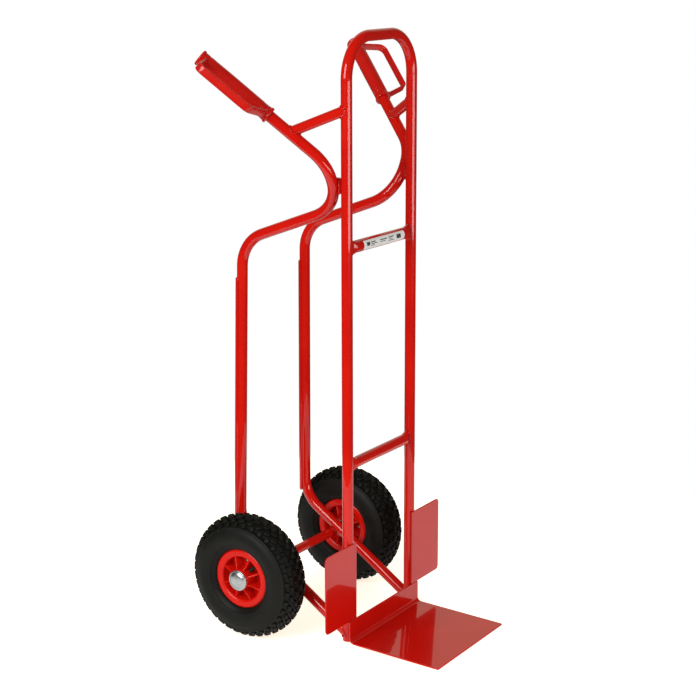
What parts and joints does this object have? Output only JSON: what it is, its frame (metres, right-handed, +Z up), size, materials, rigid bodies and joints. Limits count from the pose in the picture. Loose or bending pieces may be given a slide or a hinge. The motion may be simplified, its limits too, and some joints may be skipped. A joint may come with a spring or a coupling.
{
  "type": "hand truck",
  "caption": "Upright tube-frame hand truck with folded toe plate, side wings, rear skids, guarded grips and pneumatic wheels.",
  "frame": {"origin": "middle of the standing footprint on the floor: mid-width, mid-depth, at floor level", "axes": "+Z up along the uprights; +X towards the user's left; -Y towards the load and the toe plate"},
  "size_m": [0.6456, 0.545, 1.222],
  "materials": {
    "red_enamel": "gloss powder coat",
    "red_plastic": "moulded polypropylene, satin gloss",
    "tyre_rubber": "vulcanised rubber",
    "tube_rubber": "matte butyl rubber",
    "valve_rubber": "matte",
    "zinc": "zinc plated",
    "bearing_steel": "ground steel",
    "label_film": "printed film"
  },
  "bodies": {
    "frame": {"main_hoop": "red_enamel", "side_tube_right": "red_enamel", "side_tube_left": "red_enamel", "spacer_right": "red_enamel", "spacer_left": "red_enamel", "handle_brace_right": "red_enamel", "handle_brace_left": "red_enamel", "upper_cross_bar": "red_enamel", "lower_cross_bar": "red_enamel", "label": "label_film", "skid_right": "red_enamel", "skid_left": "red_enamel", "toe_plate": "red_enamel", "wing_right": "red_enamel", "wing_left": "red_enamel", "grip_right": "red_plastic", "grip_left": "red_plastic", "axle": "red_enamel", "stop_collars": "red_enamel", "thrust_washers": "zinc", "hub_caps": "zinc"},
    "wheel_right": {"tyre_right": "tyre_rubber", "inner_tube_right": "tube_rubber", "valve_right": "valve_rubber", "rim_outer_right": "red_plastic", "rim_inner_right": "red_plastic", "rim_screws_right": "zinc", "rim_nuts_right": "zinc", "bearings_right": "bearing_steel"},
    "wheel_left": {"tyre_left": "tyre_rubber", "inner_tube_left": "tube_rubber", "valve_left": "valve_rubber", "rim_outer_left": "red_plastic", "rim_inner_left": "red_plastic", "rim_screws_left": "zinc", "rim_nuts_left": "zinc", "bearings_left": "bearing_steel"}
  },
  "joints": [
    {"name": "wheel_right_spin", "type": "hinge", "parent": "frame", "child": "wheel_right", "pos_m": [-0.187, 0.1425, 0.13], "axis": [1, 0, 0], "continuous": true},
    {"name": "wheel_left_spin", "type": "hinge", "parent": "frame", "child": "wheel_left", "pos_m": [0.187, 0.1425, 0.13], "axis": [1, 0, 0], "continuous": true}
  ]
}
